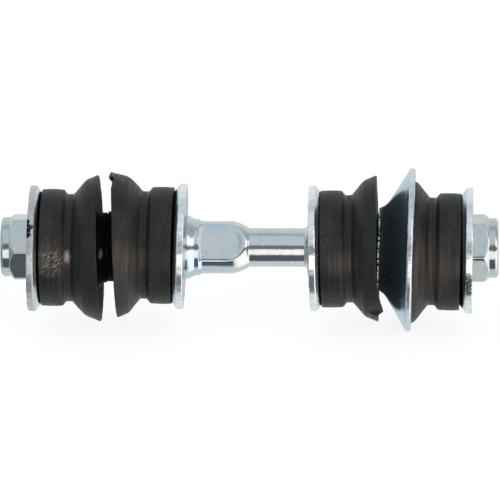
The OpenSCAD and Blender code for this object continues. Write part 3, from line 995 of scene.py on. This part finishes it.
rod_zinc = make_zinc("rod_zinc", ZINC_BLUE, ZINC_WARM, ROD_FINISH, warmer=ROD_WARMER)
dish_zinc = make_zinc("dish_zinc", DISH_BLUE, DISH_BLUE, DISH_FINISH, DISH_GRAIN, DISH_FILM,
                      edge=(DISH_R, BRIGHT_EDGE, EDGE_BLUE), burr=True)
nut_zinc = make_zinc("nut_zinc", NUT_BLUE, NUT_WARM, NUT_FINISH)
nylon = make_nylon("nylon")

rod_low, rod_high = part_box("link_rod")
seat_x = left_seat_station()
rod = build_rod((rod_low.x - seat_x) / MM, (rod_high.x - seat_x) / MM, rod_frame(1, seat_x))
finish_piece(rod, rod_zinc, "rod", "link_rod")
for side, way, end_x in (("left", 1, rod_low.x), ("right", -1, rod_high.x)):
    thread = build_thread(side + "_thread", rod_frame(way, end_x))
    finish_piece(thread, rod_zinc, "rod")

WASHER_WAYS = {"left_outer": 1, "left_inner": -1, "right_inner": 1, "right_outer": -1}

# Each washer's sheared edge: its finish and colour, how dark its spots go, and the dark spots by station,
# angle and reach. On the left outer washer they are plating come off; on the right outer one they are a
# painted dark reflection, a band just below the front
WASHER_EDGES = {
    "left_outer": dict(finish=DULL_EDGE, colour=EDGE_GREY, darkened_share=1.0, spots=[
        (-3.4, 42, 1.1), (-3.4, 38, 1.2), (-3.3, 34, 1.3), (-3.2, 30, 1.3), (-2.2, 37, 0.7),
    ]),
    "left_inner": dict(finish=BRIGHT_EDGE, colour=EDGE_PALE, darkened_share=0.0, spots=[]),
    "right_inner": dict(finish=MIRROR_EDGE, colour=EDGE_PALE, darkened_share=0.0, spots=[]),
    # Painted dark reflection: these spots lay a dark band just below the front of the edge, with streaks
    "right_outer": dict(finish=BRIGHT_EDGE, colour=EDGE_PALE, darkened_share=0.7, spots=[
        (-2.4, -8, 1.3), (-2.6, -12, 1.6), (-2.6, -16, 1.8), (-2.6, -20, 1.8), (-2.4, -24, 1.5),
    ]),
}
for seed, (where, way) in enumerate(WASHER_WAYS.items()):
    node = where + "_washer"
    place = axis_frame(node, way, -WASHER_DEPTH)
    own = WASHER_EDGES[where]
    chips_and_painted_band = [(on_piece(place, station, WASHER_R, at), reach) for station, at, reach in own["spots"]]
    edge = (WASHER_R, own["finish"], own["colour"])
    zinc = make_zinc(node + "_zinc", ZINC_BLUE, ZINC_WARM, WASHER_FINISH, WASHER_GRAIN,
                     edge=edge, chips_and_painted_band=chips_and_painted_band, darkened_share=own["darkened_share"])
    washer = build_washer(node + "_plate", place, WASHER_SEED + SEED_STEP * seed)
    finish_piece(washer, zinc, node, node)

# How each bush differs. nose: the nose's extra length; nose_drop: how far its end sags; cup_shade_amount:
# how much shade is painted into the cup; droop: how far the skirt sags below; longer: the skirt's extra
# length; lean: an angle, and how far the lip leans out there; flaps: torn places of the lip, by start and
# end angle and how far out at each; scuffs, brown smears partly painted as a warm sheen, and pale painted
# glints in place of a lamp's highlight: station, radius, angle, reach
BUSHES = {
    "left_outer": dict(
        nose=0.12, nose_drop=-0.2, cup_shade_amount=1.0, droop=0.0, longer=0.4, lean=(-73, 0.6),
        flaps=[(-62, -74, -0.3, -0.1), (60, 66, -0.2, -0.2)],
        scuffs=[(2.8, BAND_R, 3, 4.6), (14.0, 17.4, 158, 3.0), (14.0, 17.4, -128, 4.0)],
        # The last spots paint a lamp's glints in the groove and on the nose
        smears_and_sheen=[(2.8, BAND_R, 4, 6.0)], bare_and_glints=[(7.4, GROOVE_R, 7, 1.3), (15.9, NOSE_R, 8, 0.9)]),
    "left_inner": dict(
        nose=0.12, nose_drop=0.6, cup_shade_amount=1.0, droop=0.0, longer=0.35, lean=(107, 1.0),
        flaps=[(77, 86, -0.3, -0.3), (86, 125, 0.9, 0.5), (40, 70, 0.0, 0.2)],
        scuffs=[], smears_and_sheen=[(12.5, 18.4, 2, 6.5), (9.6, 16.0, 0, 5.0)], bare_and_glints=[]),
    "right_inner": dict(
        nose=0.0, nose_drop=0.0, cup_shade_amount=0.0, droop=0.0, longer=0.0, lean=(0, 0.0),
        flaps=[(-16, -48, 0.1, 1.5)],
        scuffs=[], smears_and_sheen=[(4.6, BAND_R, 2, 4.0), (7.6, GROOVE_R, 2, 4.0)], bare_and_glints=[]),
    "right_outer": dict(
        nose=0.0, nose_drop=0.0, cup_shade_amount=0.0, droop=0.65, longer=0.0, lean=(0, 0.0), flaps=[],
        # The large smear on the flare is mostly a painted warm sheen
        scuffs=[], smears_and_sheen=[(0.9, BAND_R, -3, 3.6), (9.8, 15.6, 0, 12.0)], bare_and_glints=[]),
}
for seed, (where, own) in enumerate(BUSHES.items()):
    node = where + "_bush"
    nested = where == "right_outer"
    place = axis_frame(node, WASHER_WAYS[where], 0.0)
    lip_r, lip_x = (NESTED_LIP_R, NESTED_LIP_X) if nested else (LIP_R, LIP_X)
    bush = build_bush(node + "_rubber", place, lip_r, lip_x, own, BUSH_SEED + SEED_STEP * seed)
    scuffs, smears_and_sheen, bare_and_glints = ([(on_piece(place, *at), reach) for *at, reach in own[kind]]
                            for kind in ("scuffs", "smears_and_sheen", "bare_and_glints"))
    rubber = make_rubber(node + "_rubber", scuffs, smears_and_sheen, bare_and_glints)
    finish_piece(bush, rubber, node, node)

dish = build_dish("trumpet_dish", axis_frame("dish_washer", 1, 0.0), DISH_SEED)
finish_piece(dish, dish_zinc, "dish_washer", "dish_washer")

for side, way in (("left", -1), ("right", 1)):
    low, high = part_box(side + "_nut")
    place = rod_frame(way, low.x if way > 0 else high.x)
    nut = build_nut(side + "_lock_nut", place, NUT_ROLL[side])
    finish_piece(nut, nut_zinc, side + "_nut", side + "_nut")
    ring = build_ring(side + "_lock_ring", place)
    finish_piece(ring, nylon, side + "_nut", side + "_nut_ring")


# Studio

CAMERA_AZIMUTH = 2.2
CAMERA_ELEVATION = 17.0
CAMERA_ROLL = -0.48
CAMERA_DISTANCE = 1.66
CAMERA_CLIP = 0.05
SENSOR = 36.0
FRAME_PX = 500
MM_PER_PX = 0.2623
AIM_RIGHT = 0.05
AIM_DOWN = 0.7


def build_camera():
    """The photograph's view: a long lens, a little from the right and from above."""
    a, e = math.radians(CAMERA_AZIMUTH), math.radians(CAMERA_ELEVATION)
    back = Vector((math.sin(a) * math.cos(e), -math.cos(a) * math.cos(e), math.sin(e)))
    turn = (-back).to_track_quat("-Z", "Y") @ Quaternion((0, 0, 1), math.radians(CAMERA_ROLL))
    aim = turn @ Vector((AIM_RIGHT * MM, -AIM_DOWN * MM, 0))
    data = bpy.data.cameras.new("camera")
    data.sensor_width = SENSOR
    data.lens = SENSOR * CAMERA_DISTANCE / (FRAME_PX * MM_PER_PX * MM)
    data.clip_start = CAMERA_CLIP
    camera = bpy.data.objects.new("camera", data)
    camera.rotation_mode = "QUATERNION"
    camera.rotation_quaternion = turn
    camera.location = aim + back * CAMERA_DISTANCE
    bpy.context.scene.collection.objects.link(camera)
    bpy.context.scene.camera = camera


# The room round the object, as its colour by the angle above the horizon on the camera's side: white
# table and wall behind, dark table edge below, bright lamp in front, dark gap over it and pale ceiling
TABLE = (0.84, 0.87, 0.88)
CEILING = (0.72, 0.80, 0.88)
BEAM = (0.48, 0.57, 0.65)
LAMP = (1.42, 1.42, 1.42)
GAP = (0.2, 0.22, 0.24)
DARK = (0.13, 0.14, 0.165)
WINDOW = (1.6, 1.58, 1.55)
CORNER = (0.5, 0.54, 0.56)
SHADE_LEFT = (0.34, 0.39, 0.45)
SKY_LEFT = (0.55, 0.62, 0.70)
ROOM = [
    (-180, TABLE), (-76, TABLE), (-71, DARK), (-31, DARK), (-25, LAMP), (3, LAMP),
    (7, GAP), (26, GAP), (31, CEILING), (84, CEILING), (94, BEAM), (104, BEAM), (114, CEILING),
    (150, TABLE), (180, TABLE),
]
ROOM_RIGHT = [
    (-180, TABLE), (-105, TABLE), (-95, WINDOW), (3, WINDOW), (7, GAP), (22, GAP),
    (27, WINDOW), (58, WINDOW), (70, CORNER), (110, CORNER), (150, TABLE), (180, TABLE),
]
ROOM_LEFT = [
    (-180, TABLE), (-140, TABLE), (-110, SHADE_LEFT), (10, SHADE_LEFT), (27, SKY_LEFT), (100, SKY_LEFT),
    (140, TABLE), (180, TABLE),
]
RIGHT_FROM, RIGHT_TO = 0.25, 0.45
LEFT_FROM, LEFT_TO = -0.35, -0.7


def build_world():
    world = bpy.data.worlds.new("studio")
    bpy.context.scene.world = world
    world.use_nodes = True
    shade = Shade(world.node_tree)
    parts = shade.nodes.new("ShaderNodeSeparateXYZ")
    shade.feed(parts.inputs[0], shade.nodes.new("ShaderNodeTexCoord").outputs["Generated"])
    towards = shade.math("MULTIPLY", parts.outputs["Y"], -1.0)
    angle = shade.math("ARCTAN2", parts.outputs["Z"], towards)
    turn = shade.spread(angle, -math.pi, math.pi)
    middle, right, left = (
        shade.ramp(turn, [((degrees + 180) / 360, colour) for degrees, colour in room])
        for room in (ROOM, ROOM_RIGHT, ROOM_LEFT))
    room = shade.mix(shade.spread(parts.outputs["X"], RIGHT_FROM, RIGHT_TO), middle, right)
    room = shade.mix(shade.spread(parts.outputs["X"], LEFT_FROM, LEFT_TO), room, left)
    seen = shade.nodes.new("ShaderNodeLightPath")
    background = world.node_tree.nodes["Background"]
    shade.feed(background.inputs["Color"], shade.mix(seen.outputs["Is Camera Ray"], room, (1, 1, 1)))
    background.inputs["Strength"].default_value = 1.0


FLOOR_SIZE = 6.0
FLOOR_GLOW = 0.86
FLOOR_COLOUR = 0.2


def build_floor():
    """A pale floor under the lowest piece, nearly white by itself, that still takes a soft shadow."""
    half, z = FLOOR_SIZE / 2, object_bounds()[0].z
    corners = [(-half, -half, z), (half, -half, z), (half, half, z), (-half, half, z)]
    mesh = bpy.data.meshes.new("floor")
    mesh.from_pydata(corners, [], [range(len(corners))])
    floor = bpy.data.objects.new("floor", mesh)
    bpy.context.scene.collection.objects.link(floor)
    material, shade, shader = new_material("floor_white")
    shader.inputs["Base Color"].default_value = (FLOOR_COLOUR, FLOOR_COLOUR, FLOOR_COLOUR, 1)
    shader.inputs["Roughness"].default_value = 1.0
    shader.inputs["Specular IOR Level"].default_value = 0.0
    shader.inputs["Emission Color"].default_value = (1, 1, 1, 1)
    shader.inputs["Emission Strength"].default_value = FLOOR_GLOW
    mesh.materials.append(material)
    floor.visible_glossy = False
    floor.visible_diffuse = False
    floor.visible_transmission = False


# Each lamp's place and width in metres, and its power in watts
LAMPS = {
    "key": ((0.45, -1.0, 0.13), 0.5, 8.0),
    "fill": ((-0.6, -0.7, 0.4), 0.6, 1.0),
}


def build_lamps():
    for name, (place, size, power) in LAMPS.items():
        data = bpy.data.lights.new(name, "AREA")
        data.size = size
        data.energy = power
        lamp = bpy.data.objects.new(name, data)
        lamp.location = place
        lamp.rotation_mode = "QUATERNION"
        lamp.rotation_quaternion = (-Vector(place)).to_track_quat("-Z", "Y")
        lamp.visible_glossy = False
        bpy.context.scene.collection.objects.link(lamp)


build_camera()
build_world()
build_floor()
build_lamps()
bpy.context.scene.view_settings.view_transform = "Standard"
